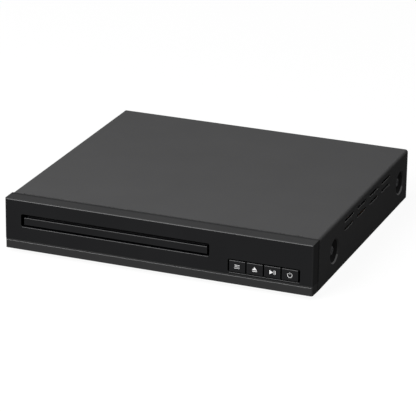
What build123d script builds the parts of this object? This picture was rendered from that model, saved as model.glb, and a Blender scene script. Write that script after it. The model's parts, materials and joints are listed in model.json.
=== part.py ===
"""Compact disc player with a front-loading tray, in millimetres.

x runs to the right, y runs from the front face to the back and z runs up. The pieces are drawn with
y = 0 at the front face and z = 0 at the surface that the feet stand on, and are then moved back so
that the origin lies under the middle of the whole player.
"""
from build123d import *
import math
import os

# ---- the whole player
body_width = 225.0
cover_depth = 206.8        # front face to the rear edge of the cover
body_height = 40.0
foot_reach = 3.0           # feet below the lower edge of the cover
jack_reach = 8.0           # rear sockets behind the cover
slack = 0.3                # usual gap between neighbouring pieces
running = 0.05             # radial gap of a shaft or pin in its bore

# ---- sheet steel cover
cover_sheet = 0.7
bend_radius = 2.0
front_fold_inset = 1.4     # the folded front edge stands back from the panel
front_fold_height = 3.2
front_fold_margins = (8.7, 11.7)   # from the left and right sides to the ends of the front fold
rear_fold_height = 8.0
dimple_radius = 9.0
dimple_depth = 3.5
dimple_front = 44.0
dimple_back_margin = 17.3  # from the rear seats to the cover's rear edge
dimple_height = 20.0
vent_length = 19.0
vent_width = 2.2
vent_margins = (30.0, 34.5)        # from the seats to the first and last slots
vent_count = 4
vent_rows = (28.2, 34.2)
rear_screw_margin = 12.5
rear_screw_height = 35.6

# ---- front panel moulding
panel_depth = 12.0
panel_wall = 2.2
panel_lift = 0.6           # its lower front edge above the cover's lower edge
groove_low = 9.6
groove_high = 11.1
groove_depth = 0.7
ledge_radius = 1.0
panel_corner = 1.1         # rounding of the upright front corners above the groove
band_corner = 1.6          # and of the band below it
slot_low = 20.65
slot_height = 9.0
slot_corner = 1.3
slot_lip = 0.5             # rounding of the slot's front edge
tunnel_wall = 1.2
tunnel_length = 6.8
key_window_margin = 34.6   # from the middle of the keys to the right side
key_window_z = 16.6
window_lip = 0.35
key_window_height = 9.4

# ---- keys
key_count = 4
key_pitch = 12.5
key_height = 8.3
key_z = 16.3
key_travel = 0.6
key_length = 4.75
key_edge = 0.6
key_stem_radius = 1.6
holder_y = 6.0
holder_sheet = 1.6
board_screw_z = 30.0
receiver_z = 29.0
switch_size = 6.0
switch_height = 3.5
board_thickness = 1.6

# ---- base pan
pan_sheet = 0.8
pan_lift = 0.4             # underside above the cover's lower edge
pan_wall_height = 7.0
pan_front_height = 8.6
ear_width = 14.0
pillar_radius = 3.4
pillar_bore = 1.25
board_level = 9.0
board_corner = 4.5         # from a board's edges to its screws
foot_radius = 8.0
foot_margin = 20.5
foot_front = 32.0
foot_back_margin = 22.8
hook_low = 7.0
hook_half = 5.0
rear_foot_lift = 4.2       # lower screws of the rear panel above the pan's underside

# ---- loader
loader_margin = 82.05      # from the left side to the middle of the disc
frame_wall = 2.0
frame_front = 16.0
frame_base = 8.0
deck_thickness = 1.6
frame_top = 30.0
disc_y = 74.0
lug_reach = 4.5
lug_y = (24.0, 150.0)

# ---- tray
tray_rim = 7.0             # from the disc's edge to the tray's side
tray_stroke = 126.0        # the rack reaches from the drive pinion this far back
tray_low = 21.0
tray_top = 27.2
tray_skin = 1.4
disc_radius = 60.0
recess_floor = 25.6
small_recess_radius = 40.5
small_recess_step = 0.6
floor_thickness = 1.2
hub_hole_radius = 19.0
sled_slot_width = 40.0
sled_slot_end = 140.0
door_low = 22.1
door_top = 27.4
door_thickness = 2.25

# ---- gears
rack_inset = 6.5           # from the tray's side to the rack's pitch line
rack_low = 21.1
rack_high = 23.3
drive_module = 1.0
drive_pinion_teeth = 18
train_module = 0.8
drive_wheel_teeth = 36
pulley_pinion_teeth = 12
train_y = 34.0
pulley_radius = 11.0
motor_pulley_radius = 3.5
motor_x = 4.0
motor_radius = 10.0
belt_size = 1.2
train_post = 1.5
pulley_low = 16.2
pulley_top = 19.8

# ---- lifting sub-chassis, drawn raised and level
tilt_degrees = 4.26
hinge_y = 152.0
hinge_z = 15.0
trunnion_radius = 2.0
lift_left = -49.0
lift_right = 39.0
lift_front = 50.0
lift_back = 151.0
lift_low = 13.5
lift_high = 16.5
cam_pin_x = (-21.0, 11.0)
cam_pin_radius = 1.4
cam_travel = 20.0
cam_front = 46.5
cam_sheet = 2.0
cam_low = 5.0
cam_top = 18.0

# ---- traverse, drawn raised and level
plate_low = 15.6
plate_sheet = 1.2
damper_radius = 4.2
damper_low = 14.4
damper_in = 3.6
rod_x_offsets = (-20.0, 22.0)
rod_radius = 1.5
rod_z = 19.2
turntable_radius = 15.0
disc_level = 26.8
rotor_radius = 13.2
lens_inner = 24.0
sled_travel = 33.0
sled_length = 20.5
feed_module = 0.6
feed_wheel_teeth = 28
feed_motor_teeth = 12
feed_rack_module = 0.8
feed_pinion_teeth = 12
feed_y = 108.0
feed_low = 17.2
feed_wheel_high = 18.9
feed_top = 21.3

# ---- clamp
bridge_sheet = 1.2
bridge_overhang = 7.5
bridge_screw_inset = 3.6
clamp_radius = 13.0
clamp_neck_radius = 11.3
clamp_face = 28.2
clamp_cap_radius = 14.6

# ---- boards and rear sockets
main_board_margin = 8.5
board_spacing = 8.0        # between the two level boards
main_board_depth = 35.6
power_board_width = 56.0
power_board_margin = 6.5
power_board_front = 86.0
power_board_back = 5.2     # from its back edge to the rear panel
jack_radius = 4.15
jack_pitch_x = 13.0
jack_pitch_z = 11.4
jack_lift = 5.3            # axis of the lower row above the board
jack_margin = 23.5
jack_columns = 3
inlet_margin = 28.5
inlet_z = 21.5
video_socket_offset = 53.0
audio_jack_offset = 77.0

# ---- values that follow from the ones above
half_width = body_width / 2
cover_top = body_height
cover_low = foot_reach
cover_under = cover_top - cover_sheet
cover_front = panel_depth + 0.15
fold_y = panel_depth + front_fold_inset
side_inner = half_width - cover_sheet
front_fold_ends = (front_fold_margins[0] - half_width, half_width - front_fold_margins[1])
dimple_places = (dimple_front, cover_depth - dimple_back_margin)
vent_start = dimple_places[0] + vent_margins[0]
vent_pitch = (dimple_places[1] - vent_margins[1] - vent_start) / (vent_count - 1)
rear_screw_xs = (rear_screw_margin - half_width, 0, half_width - rear_screw_margin)
foot_x = half_width - foot_margin
foot_y = (foot_front, cover_depth - foot_back_margin)
hook_xs = (foot_margin + 7 - half_width, 10.0, half_width - foot_margin - 4)
rear_foot_xs = (foot_margin + 2 - half_width, -20.0, half_width - 52.5)
panel_low = cover_low + panel_lift
pan_low = cover_low + pan_lift
pan_top = pan_low + pan_sheet
pan_half = side_inner - 0.4
pan_front = cover_front + 0.45
ear_outer = half_width - dimple_depth - cover_sheet - 0.1
rear_outer = cover_depth - cover_sheet - 0.1
rear_inner = rear_outer - pan_sheet
overall_depth = cover_depth + jack_reach
loader_x = loader_margin - half_width
tray_half_width = disc_radius + tray_rim
tray_back = train_y + tray_stroke
frame_half_width = tray_half_width + 0.5 + frame_wall
frame_back = tray_back + frame_wall
lug_x = frame_half_width + lug_reach
bridge_reach = frame_half_width + bridge_overhang
bridge_screw_x = bridge_reach - bridge_screw_inset
rack_pitch_x = tray_half_width - rack_inset
door_width = 2 * tray_half_width + 1.4
slot_x = loader_x - 0.35
slot_width = door_width + 3.8
key_window_x = half_width - key_window_margin
key_window_width = key_count * key_pitch + 1.4
key_first_x = key_window_x - 0.3 - (key_count - 1) / 2 * key_pitch
key_width = key_pitch - 0.8
receiver_x = key_window_x
main_board_y = (rear_inner - 1.6 - main_board_depth, rear_inner - 1.6)
power_board_x = (half_width - power_board_margin - power_board_width, half_width - power_board_margin)
power_board_y = (power_board_front, rear_inner - power_board_back)
main_board_x = (main_board_margin - half_width, power_board_x[0] - board_spacing)
jack_first_x = jack_margin - half_width
video_socket_x = jack_first_x + video_socket_offset
audio_jack_x = jack_first_x + audio_jack_offset
inlet_x = half_width - inlet_margin
deck_top = frame_base + deck_thickness
drive_pinion_radius = drive_module * drive_pinion_teeth / 2
drive_wheel_radius = train_module * drive_wheel_teeth / 2
pulley_pinion_radius = train_module * pulley_pinion_teeth / 2
drive_x = rack_pitch_x - drive_pinion_radius
pulley_x = drive_x - drive_wheel_radius - pulley_pinion_radius
plate_top = plate_low + plate_sheet
lens_y = disc_y + lens_inner
sled_front = disc_y + rotor_radius + 1.3
feed_pinion_radius = feed_rack_module * feed_pinion_teeth / 2
feed_wheel_radius = feed_module * feed_wheel_teeth / 2
feed_motor_radius = feed_module * feed_motor_teeth / 2
feed_rack_x = -28.2
rack_back = 4.6            # from the pitch line to the face that lies against the carriage
feed_x = feed_rack_x - feed_pinion_radius
feed_motor_y = feed_y - feed_wheel_radius - feed_motor_radius
key_board_y = 13.6
key_xs = [key_first_x + i * key_pitch for i in range(key_count)]
jack_level = board_level + board_thickness
recess_radius = disc_radius + 0.5


# ---- shapes used throughout
def block(x0, x1, y0, y1, z0, z1):
    """A plain block between two corners."""
    middle = ((x0 + x1) / 2, (y0 + y1) / 2, (z0 + z1) / 2)
    return Pos(*middle) * Box(x1 - x0, y1 - y0, z1 - z0)


def post(x, y, z0, z1, radius):
    """A round post that stands along z."""
    return Pos(x, y, (z0 + z1) / 2) * Cylinder(radius, z1 - z0)


def rod_y(x, z, y0, y1, radius):
    """A round rod along y."""
    return Pos(x, (y0 + y1) / 2, z) * Rot(90, 0, 0) * Cylinder(radius, abs(y1 - y0))


def rod_x(y, z, x0, x1, radius):
    """A round rod along x."""
    return Pos((x0 + x1) / 2, y, z) * Rot(0, 90, 0) * Cylinder(radius, abs(x1 - x0))


def facing_front(y):
    """A drawing plane at depth y, with x to the right and z up."""
    return Plane(origin=(0, y, 0), x_dir=(1, 0, 0), z_dir=(0, -1, 0))


def facing_side(x):
    """A drawing plane at x, with y to the right and z up."""
    return Plane(origin=(x, 0, 0), x_dir=(0, 1, 0), z_dir=(1, 0, 0))


def rounded_plate(x0, x1, y0, y1, z0, z1, radius):
    """A plate with rounded corners as seen from above."""
    outline = Pos((x0 + x1) / 2, (y0 + y1) / 2) * RectangleRounded(x1 - x0, y1 - y0, radius)
    return extrude(Plane.XY.offset(z0) * outline, z1 - z0)


def rounded_front(x, z, width, height, radius, y0, y1):
    """A bar along y with rounded corners as seen from the front."""
    outline = Pos(x, z) * RectangleRounded(width, height, radius)
    return extrude(facing_front(y0) * outline, -(y1 - y0))


def round_mouth(panel, x, z, width, height, lip):
    """Round the front edge of an opening in the panel."""
    edges = [edge for edge in panel.edges().group_by(Axis.Y)[0]
             if abs(edge.center().X - x) < width / 2 + 0.1 and abs(edge.center().Z - z) < height / 2 + 0.1]
    return fillet(edges, lip)


def turned(points, x=0.0, y=0.0):
    """A turned shape from (radius, height) points, about an upright axis."""
    section = Plane.XZ * make_face(Polyline(*[(r, z) for r, z in points], close=True))
    return Pos(x, y, 0) * revolve(section, Axis.Z)


def tooth_flank(teeth, module, addendum, dedendum, backlash):
    """Half a tooth as (radius, angle) points, from the root to the tip."""
    pitch = module * teeth / 2
    base = pitch * math.cos(math.radians(20))
    half_angle = math.pi / (2 * teeth) - backlash / (2 * pitch)
    pitch_angle = math.tan(math.radians(20)) - math.radians(20)
    root = pitch - dedendum
    points = [(root, half_angle + pitch_angle)] if root < base else []
    for step in range(4):
        low = max(base, root)
        radius = low + (pitch + addendum - low) * step / 3
        roll = math.acos(base / radius)
        points.append((radius, half_angle + pitch_angle - math.tan(roll) + roll))
    return points


def gear(teeth, module, z0, z1, bore, phase=0.0):
    """A spur gear about z, with one tooth at the angle phase in degrees."""
    half = tooth_flank(teeth, module, 0.9 * module, 1.15 * module, 0.1)
    outline = []
    for tooth in range(teeth):
        middle = math.radians(phase) + 2 * math.pi * tooth / teeth
        for radius, angle in half:
            outline.append((radius * math.cos(middle - angle), radius * math.sin(middle - angle)))
        for radius, angle in reversed(half):
            outline.append((radius * math.cos(middle + angle), radius * math.sin(middle + angle)))
    wheel = extrude(Plane.XY.offset(z0) * make_face(Polyline(*outline, close=True)), z1 - z0)
    return wheel - post(0, 0, z0 - 1, z1 + 1, bore)


def rack(pitch_x, module, y0, y1, gap_y, side, back, z0, z1):
    """A straight rack along y; side is -1 or +1 for teeth towards -x or +x, gap_y lies in a gap."""
    pitch = math.pi * module
    lean = math.tan(math.radians(20))
    root = pitch_x - side * 1.15 * module
    tip = pitch_x + side * 0.9 * module
    first = math.ceil((y0 - gap_y) / pitch)
    last = math.floor((y1 - gap_y) / pitch)
    outline = [(pitch_x - side * back, y0), (root, y0)]
    for tooth in range(first, last):
        middle = gap_y + (tooth + 0.5) * pitch
        half = pitch / 4 - 0.05
        outline.append((root, middle - half - 1.15 * module * lean))
        outline.append((tip, middle - half + 0.9 * module * lean))
        outline.append((tip, middle + half - 0.9 * module * lean))
        outline.append((root, middle + half + 1.15 * module * lean))
    outline += [(root, y1), (pitch_x - side * back, y1)]
    return extrude(Plane.XY.offset(z0) * make_face(Polyline(*outline, close=True)), z1 - z0)


def screw(length, shank, head_radius, head_height):
    """A cross-head screw that points down, with the underside of its head at z = 0."""
    body = post(0, 0, -length, 0.1, shank)
    head = post(0, 0, 0, head_height, head_radius)
    edges = head.edges().group_by(Axis.Z)[-1]
    head = fillet(edges, head_height * 0.45)
    cross = block(-head_radius * 0.6, head_radius * 0.6, -0.3, 0.3, head_height * 0.4, head_height + 1)
    cross += block(-0.3, 0.3, -head_radius * 0.6, head_radius * 0.6, head_height * 0.4, head_height + 1)
    return body + head - cross


# ---- casing
def cover_shell(inset):
    """The folded outline of the cover, shrunk by inset, along its whole length."""
    top = cover_top - inset
    low = cover_low - (1 if inset else 0)
    outline = Pos(0, (top + low) / 2) * Rectangle(body_width - 2 * inset, top - low)
    outline = fillet(outline.vertices().group_by(Axis.Y)[-1], bend_radius - inset)
    return extrude(facing_front(cover_front) * outline, -(cover_depth - cover_front))


def dimple(side, y):
    """The dished seat of a side screw, pressed inwards."""
    skin = cover_sheet * math.sqrt(2)
    depth = dimple_depth + cover_sheet
    outer = Cone(dimple_radius + skin, dimple_radius + skin - depth, depth)
    inner = Cone(dimple_radius, dimple_radius - dimple_depth, dimple_depth)
    turn = Rot(0, -90 * side, 0)
    place = Pos(side * half_width, y, dimple_height)
    dish = place * turn * (Pos(0, 0, depth / 2) * outer - Pos(0, 0, dimple_depth / 2) * inner)
    hole = rod_x(y, dimple_height, side * half_width - 8, side * half_width + 8, 1.9)
    return dish - hole


def top_cover():
    """The folded steel cover, with its front fold, rear flange, seats for the screws and vents."""
    cover = cover_shell(0) - cover_shell(cover_sheet)
    left, right = front_fold_ends
    relief_low = cover_under - front_fold_height
    cover -= block(left, right, 0, fold_y, relief_low, cover_top + 1)
    fold = block(left, right, fold_y, fold_y + cover_sheet, cover_top - front_fold_height, cover_top)
    front_edge = fold.edges().filter_by(Axis.X).group_by(Axis.Y)[0].group_by(Axis.Z)[-1]
    cover += fillet(front_edge, cover_sheet * 0.6)
    rear_y = cover_depth - cover_sheet
    cover += block(-side_inner - 0.2, side_inner + 0.2, rear_y, cover_depth,
                   cover_top - rear_fold_height, cover_under + 0.2)
    for x in rear_screw_xs:
        cover -= rod_y(x, rear_screw_height, rear_y - 1, cover_depth + 1, 1.7)
    for side in (-1, 1):
        for y in dimple_places:
            cover -= rod_x(y, dimple_height, side * (half_width - 2), side * (half_width + 2), dimple_radius)
            cover += dimple(side, y)
    for row in vent_rows:
        for group in range(vent_count):
            y = vent_start + group * vent_pitch
            slot = facing_side(-half_width - 5) * (Pos(y, row) * SlotOverall(vent_length, vent_width))
            cover -= extrude(slot, body_width + 10)
    return cover


def front_panel():
    """The moulded front with its ledge, band, tray slot, key window and fixing bosses."""
    top, back = cover_top, panel_depth
    arc = ledge_radius * (1 - math.sqrt(0.5))
    section = Line((back, cover_low), (0.1, panel_low))
    section += Line((0.1, panel_low), (0.1, groove_low - 0.6))
    section += ThreePointArc((0.1, groove_low - 0.6), (0.276, groove_low - 0.176), (groove_depth, groove_low))
    section += Line((groove_depth, groove_low), (groove_depth, groove_high))
    section += Line((groove_depth, groove_high), (0, groove_high))
    section += Line((0, groove_high), (0, top - ledge_radius))
    section += ThreePointArc((0, top - ledge_radius), (arc, top - arc), (ledge_radius, top))
    section += Line((ledge_radius, top), (back, top))
    section += Line((back, top), (back, cover_low))
    panel = extrude(facing_side(-half_width) * make_face(section), body_width)
    rounded = Plane.XY * Rectangle(body_width, 2 * back)
    upper = extrude(fillet(rounded.vertices().group_by(Axis.Y)[0], panel_corner), top)
    lower = extrude(fillet(rounded.vertices().group_by(Axis.Y)[0], band_corner), groove_high - 0.5)
    upper -= block(-half_width, half_width, -back - 1, back + 1, -1, groove_high - 0.5)
    panel &= Pos(0, back, 0) * (upper + lower)
    inside = half_width - panel_wall
    panel -= block(-inside, inside, panel_wall, back + 1, panel_low + 1.6, top - 1.8)
    left, right = front_fold_ends
    panel += block(left + 0.4, right - 0.4, back - 3, fold_y - slack, top - 3.2, top - 1.6)
    slot_z = slot_low + slot_height / 2
    grow = 2 * tunnel_wall
    panel += rounded_front(slot_x, slot_z, slot_width + grow, slot_height + grow, slot_corner + tunnel_wall,
                           panel_wall - 0.2, panel_wall + tunnel_length)
    panel -= rounded_front(slot_x, slot_z, slot_width, slot_height, slot_corner, -1, back + 2)
    panel -= rounded_front(key_window_x, key_window_z, key_window_width, key_window_height, slot_corner,
                           -1, panel_wall + 1)
    panel = round_mouth(panel, slot_x, slot_z, slot_width, slot_height, slot_lip)
    panel = round_mouth(panel, key_window_x, key_window_z, key_window_width, key_window_height, window_lip)
    for x in holder_screw_xs():
        panel += rod_y(x, key_window_z, panel_wall - 0.2, holder_y, 2.5)
        panel += rod_y(x, board_screw_z, panel_wall - 0.2, key_board_y, 2.5)
        panel -= rod_y(x, key_window_z, panel_wall + 0.8, holder_y + 1, 1.0 + running)
        panel -= rod_y(x, board_screw_z, panel_wall + 0.8, key_board_y + 1, 1.0 + running)
    panel -= rod_y(receiver_x, receiver_z, 1.2, panel_wall + 1, 3.6)
    for x in hook_xs:
        left, right, tip = x - hook_half, x + hook_half, pan_front + 3.2
        hook = block(left, right, panel_wall - 0.2, tip, hook_low, hook_low + 1.5)
        hook += block(left, right, pan_front + pan_sheet + 0.2, tip, hook_low - 1, hook_low + 0.5)
        panel += hook
    return panel


def holder_screw_xs():
    """Bosses stand just outside the two ends of the key window."""
    reach = key_window_width / 2 + 4.1
    return (key_window_x - reach, key_window_x + reach)


def base_pan():
    """The steel pan with low walls, ears behind the cover's seats, pillars, vents and two beads."""
    back = rear_inner - 0.1
    pan = block(-pan_half, pan_half, pan_front, back, pan_low, pan_top)
    for side in (-1, 1):
        x0, x1 = sorted((side * pan_half, side * (pan_half - pan_sheet)))
        pan += block(x0, x1, pan_front, back, pan_low, pan_low + pan_wall_height)
        for y in dimple_places:
            x0, x1 = sorted((side * ear_outer, side * (ear_outer - pan_sheet)))
            ear = block(x0, x1, y - ear_width / 2, y + ear_width / 2, pan_low + 0.2, dimple_height + 7)
            corners = ear.edges().filter_by(Axis.X).group_by(Axis.Z)[-1]
            ear = fillet(corners, 3)
            pan += ear - rod_x(y, dimple_height, x0 - 1, x1 + 1, 1.5 + running)
    pan += block(-pan_half, pan_half, pan_front, pan_front + pan_sheet, pan_low, pan_low + pan_front_height)
    for x in hook_xs:
        reach = hook_half + 0.5
        pan -= block(x - reach, x + reach, pan_front - 1, pan_front + pan_sheet + 1, hook_low - 0.3, hook_low + 2)
    pan += block(-pan_half, pan_half, back - pan_sheet, back, pan_low, pan_low + pan_wall_height)
    for x in rear_foot_xs:
        pan -= rod_y(x, pan_low + rear_foot_lift, back - 2, back + 1, 1.2 + running)
    for x, y in loader_pillars():
        pan += post(x, y, pan_top - 0.1, frame_base, pillar_radius)
        pan -= post(x, y, pan_low - 1, frame_base + 1, pillar_bore)
    for x, y in board_pillars():
        pan += post(x, y, pan_top - 0.1, board_level, pillar_radius)
        pan -= post(x, y, pan_low - 1, board_level + 1, pillar_bore)
    for side in (-1, 1):
        for y in foot_y:
            pan -= post(side * foot_x, y, pan_low - 1, pan_top + 1, 3.0)
    for i in range(7):
        left, front = power_board_x[0] + 8 + i * 6.5, power_board_y[0] + 10
        pan -= rounded_plate(left, left + 3, front, front + 22, pan_low - 1, pan_top + 1, 1.4)
    for x in (loader_x - 31.55, loader_x + 25.45):
        pan += rounded_plate(x - 4, x + 4, disc_y - 18, disc_y + 66, pan_low + 0.4, pan_top + 0.7, 3.9)
    return pan


def loader_pillars():
    """Where the loader's four lugs stand on the pan."""
    return [(loader_x + side * lug_x, y) for side in (-1, 1) for y in lug_y]


def board_pillars():
    """The corners where both circuit boards are held down."""
    places = []
    for xs, ys in ((main_board_x, main_board_y), (power_board_x, power_board_y)):
        for x in (xs[0] + board_corner, xs[1] - board_corner):
            for y in (ys[0] + board_corner, ys[1] - board_corner):
                places.append((x, y))
    return places


def rear_panel():
    """The painted rear sheet with its holes for sockets, screws and air."""
    low = pan_low
    panel = block(-pan_half, pan_half, rear_inner, rear_outer, low, cover_under - slack)
    for x in rear_screw_xs:
        panel -= rod_y(x, rear_screw_height, rear_inner - 1, rear_outer + 1, 1.4 + running)
    for x in rear_foot_xs:
        panel -= rod_y(x, pan_low + rear_foot_lift, rear_inner - 1, rear_outer + 1, 1.5 + running)
    for x, z in jack_places():
        panel -= rod_y(x, z, rear_inner - 1, rear_outer + 1, jack_radius + slack)
    panel -= rounded_front(video_socket_x, jack_level + 3.1, 16.4, 6.6, 0.8, rear_inner - 1, rear_outer + 1)
    panel -= rounded_front(inlet_x, inlet_z, 23.0, 13.0, 2.0, rear_inner - 1, rear_outer + 1)
    for i in range(6):
        x = 18 + i * 5
        panel -= rounded_front(x, 23, 2.4, 14, 1.15, rear_inner - 1, rear_outer + 1)
    return panel


def jack_places():
    """Where the round sockets stand: a block of them in two rows, and one alone."""
    first_z = jack_level + jack_lift
    places = [(jack_first_x + column * jack_pitch_x, first_z + row * jack_pitch_z)
              for column in range(jack_columns) for row in range(2)]
    return places + [(audio_jack_x, first_z)]


def feet():
    """Four soft feet, each with a waist pressed into the pan."""
    profile = [(0, 0), (foot_radius - 0.8, 0), (foot_radius, 0.8), (foot_radius - 0.5, pan_low),
               (2.9, pan_low), (2.9, pan_top), (3.8, pan_top), (3.2, pan_top + 1.4), (0, pan_top + 1.4)]
    return [turned(profile, side * foot_x, y) for side in (-1, 1) for y in foot_y]


def cover_side_screws():
    """One screw in each pressed seat of the cover."""
    group = []
    for side in (-1, 1):
        for y in dimple_places:
            x = side * (half_width - dimple_depth)
            group.append(Pos(x, y, dimple_height) * Rot(0, 90 * side, 0) * screw(6.0, 1.5, 3.1, 1.7))
    return group


def cover_rear_screws():
    """Three screws through the cover's rear flange."""
    return [Pos(x, cover_depth, rear_screw_height) * Rot(-90, 0, 0) * screw(5.0, 1.4, 2.9, 1.5)
            for x in rear_screw_xs]


def rear_panel_screws():
    """Three screws that hold the rear panel to the pan's back wall."""
    return [Pos(x, rear_outer, pan_low + rear_foot_lift) * Rot(-90, 0, 0) * screw(4.0, 1.2, 2.4, 1.3)
            for x in rear_foot_xs]


# ---- keys and their board
def key(x):
    """One key with a stop flange above and below and a stem that reaches the switch."""
    low, high = key_z - key_height / 2, key_z + key_height / 2
    left, right = x - key_width / 2, x + key_width / 2
    cap = block(left, right, 0.25, 0.25 + key_length, low, high)
    cap = fillet(cap.edges().group_by(Axis.Y)[0], key_edge)
    flange_low = key_window_z - key_window_height / 2 - 1.2
    flange_high = key_window_z + key_window_height / 2 + 0.9
    cap += block(left + 0.2, right - 0.2, panel_wall + slack, panel_wall + slack + 1.1, flange_low, flange_high)
    return cap + rod_y(x, key_z, 4, switch_tip_y() - key_travel - 0.15, key_stem_radius)


def switch_tip_y():
    """The front end of a switch's button."""
    return key_board_y - switch_height - 0.75


def key_holder():
    """The plate that guides the stems, held on two bosses behind the panel."""
    left, right = holder_screw_xs()
    plate = rounded_front((left + right) / 2, key_window_z, right - left + 5.0, 9.0, 1.5,
                          holder_y, holder_y + holder_sheet)
    back = holder_y + holder_sheet
    plate += block(left + 4, right - 4, back - 0.1, back + 0.9, 19.2, 20.4)
    for x in key_xs:
        plate -= rod_y(x, key_z, holder_y - 1, holder_y + 4, key_stem_radius + 2 * running)
    for x in (left, right):
        plate -= rod_y(x, key_window_z, holder_y - 1, holder_y + 4, 1.2)
    return plate


def key_board():
    """The upright board behind the keys."""
    left, right = holder_screw_xs()
    board = block(left - 3.4, right + 2.6, key_board_y, key_board_y + board_thickness, 12.6, cover_top - 3.6)
    for x in (left, right):
        board -= rod_y(x, board_screw_z, key_board_y - 1, key_board_y + 3, 1.2)
    return board


def panel_screws():
    """Two screws for the key holder and two for the key board."""
    group = []
    for x in holder_screw_xs():
        for y, z in ((holder_y + holder_sheet, key_window_z), (key_board_y + board_thickness, board_screw_z)):
            group.append(Pos(x, y, z) * Rot(-90, 0, 0) * screw(4.4, 1.0, 1.9, 1.0))
    return group


def key_switches():
    """Four push switches with round buttons."""
    group = []
    half = switch_size / 2
    for x in key_xs:
        body = block(x - half, x + half, key_board_y - switch_height, key_board_y, key_z - half, key_z + half)
        body = chamfer(body.edges().group_by(Axis.Y)[0], 0.3)
        group.append(body + rod_y(x, key_z, switch_tip_y(), key_board_y - 1, 1.75))
    return group


def remote_receiver():
    """The sensor with its round lens, behind a thinned place of the panel."""
    x, z, y = receiver_x, receiver_z, key_board_y
    body = block(x - 3, x + 3, y - 4.6, y, z - 3.5, z + 3.5)
    return body + rod_y(x, z, y - 6.4, y - 4, 2.4)


def key_board_plug():
    """The pin header on the back of the key board."""
    x, z, y = key_window_x - 17.9, board_screw_z, key_board_y + board_thickness
    shell = block(x - 6, x + 6, y, y + 5.5, z - 2.5, z + 2.5)
    return shell - block(x - 5, x + 5, y + 1, y + 6, z - 1.6, z + 1.6)


# ---- loader: the fixed frame and what drives the tray
def loader_frame():
    """The fixed tub with its runners, lugs, hinge ears, gear posts and the guides of the cam plate."""
    x = loader_x
    wide, wall = frame_half_width, frame_wall
    frame = rounded_plate(x - wide, x + wide, frame_front, frame_back, frame_base, frame_top, 2.5)
    left, right, front = x - wide + wall, x + wide - wall, frame_front + wall
    frame -= block(left, right, front, frame_back - wall, deck_top, frame_top + 1)
    frame -= block(left, right, frame_front - 1, front + 1, tray_low - 0.5, frame_top + 1)
    frame -= rounded_plate(x + lift_left - 1.5, x + lift_right + 1.5, 46, 157, frame_base - 1, deck_top + 1, 2)
    frame -= post(x + motor_x, train_y, frame_base - 1, deck_top + 1, motor_radius + slack)
    for side in (-1, 1):
        inner = side * (wide - wall)
        x0, x1 = sorted((x + inner - side * 3, x + inner + side * 0.5))
        frame += block(x0, x1, front - 0.2, frame_back - wall + 0.2, tray_low - 1.8, tray_low - slack)
        for y in (frame_front + 8, disc_y + 19, frame_back - 17):
            frame += block(x0, x1, y, y + 10, tray_top + slack, tray_top + 1.6)
        for y in lug_y:
            x0, x1 = sorted((x + side * (wide - 0.3), x + side * (lug_x + 4)))
            frame += rounded_plate(x0, x1, y - 4.5, y + 4.5, frame_base, frame_base + 2, 1.5)
            frame -= post(x + side * lug_x, y, frame_base - 1, frame_base + 4, 1.3)
        x0, x1 = sorted((x + side * (wide - 0.3), x + side * bridge_reach))
        frame += block(x0, x1, disc_y - 8, disc_y + 8, frame_top - 6, frame_top)
        frame -= post(x + side * bridge_screw_x, disc_y, frame_top - 5, frame_top + 1, 1.2 + running)
        for y in range(5):
            rib_y = frame_front + 24 + y * 24
            x0, x1 = sorted((x + side * (wide - 0.2), x + side * (wide + 1.2)))
            if abs(rib_y - disc_y) > 12:
                frame += block(x0, x1, rib_y, rib_y + 1.4, frame_base, frame_top)
    for edge, outward in ((lift_left, -1), (lift_right, 1)):
        x0, x1 = sorted((x + edge + outward * 2.2, x + edge + outward * 5.2))
        ear = block(x0, x1, hinge_y - 4, hinge_y + 4, frame_base, hinge_z + 4.5)
        ear = fillet(ear.edges().filter_by(Axis.X).group_by(Axis.Z)[-1], 3)
        frame += ear
        frame -= rod_x(hinge_y, hinge_z, x0 - 1, x1 + 1, trunnion_radius + running)
    for centre, top in ((drive_x, rack_high - 0.2), (pulley_x, pulley_top + 0.6)):
        frame += post(x + centre, train_y, frame_base, top, train_post)
    for guide_x in (lift_left + 14, 12.0):
        frame += block(x + guide_x, x + guide_x + 5, 43.4, cam_front - slack, deck_top - 0.1, cam_top + 1.6)
        frame += block(x + guide_x, x + guide_x + 5, 43.4, cam_front + 2, cam_top + slack, cam_top + 1.6)
    return frame


def compound_gear(small, large, x, y):
    """Two gears on one hub, moved to their shaft."""
    return Pos(x, y, 0) * (small + large)


def drive_gear():
    """The wheel turned by the pulley's pinion, with the pinion that moves the rack above it."""
    bore = train_post + running
    wheel = gear(drive_wheel_teeth, train_module, deck_top + 1.6, deck_top + 4.0, bore)
    low, high, hub = deck_top + slack, rack_low + 0.1, 4.2
    web = turned([(bore, low), (hub, low), (hub, high), (bore, high)])
    pinion = gear(drive_pinion_teeth, drive_module, rack_low, rack_high, bore)
    return compound_gear(pinion + web, wheel, loader_x + drive_x, train_y)


def grooved_wheel(radius, bore):
    """A wheel with two rims and a flat-bottomed groove for the belt."""
    middle = (pulley_low + pulley_top) / 2
    half, rim, root = belt_size / 2 + 0.15, radius + 1, radius - 0.4
    return turned([(bore, pulley_low), (rim, pulley_low), (rim, pulley_low + 0.6), (root, middle - half),
                   (root, middle + half), (rim, pulley_top - 0.6), (rim, pulley_top), (bore, pulley_top)])


def pulley_gear():
    """The large belt pulley with the pinion under it."""
    bore = train_post + running
    phase = 0.0 if pulley_pinion_teeth % 2 else 180.0 / pulley_pinion_teeth
    pinion = gear(pulley_pinion_teeth, train_module, deck_top + slack, pulley_low + 0.1, bore, phase)
    rim = grooved_wheel(pulley_radius, bore)
    for i in range(4):
        angle = math.radians(45 + 90 * i)
        rim -= post(6.9 * math.cos(angle), 6.9 * math.sin(angle), pulley_low - 1, pulley_top + 1, 2.2)
    return compound_gear(pinion, rim, loader_x + pulley_x, train_y)


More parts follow.
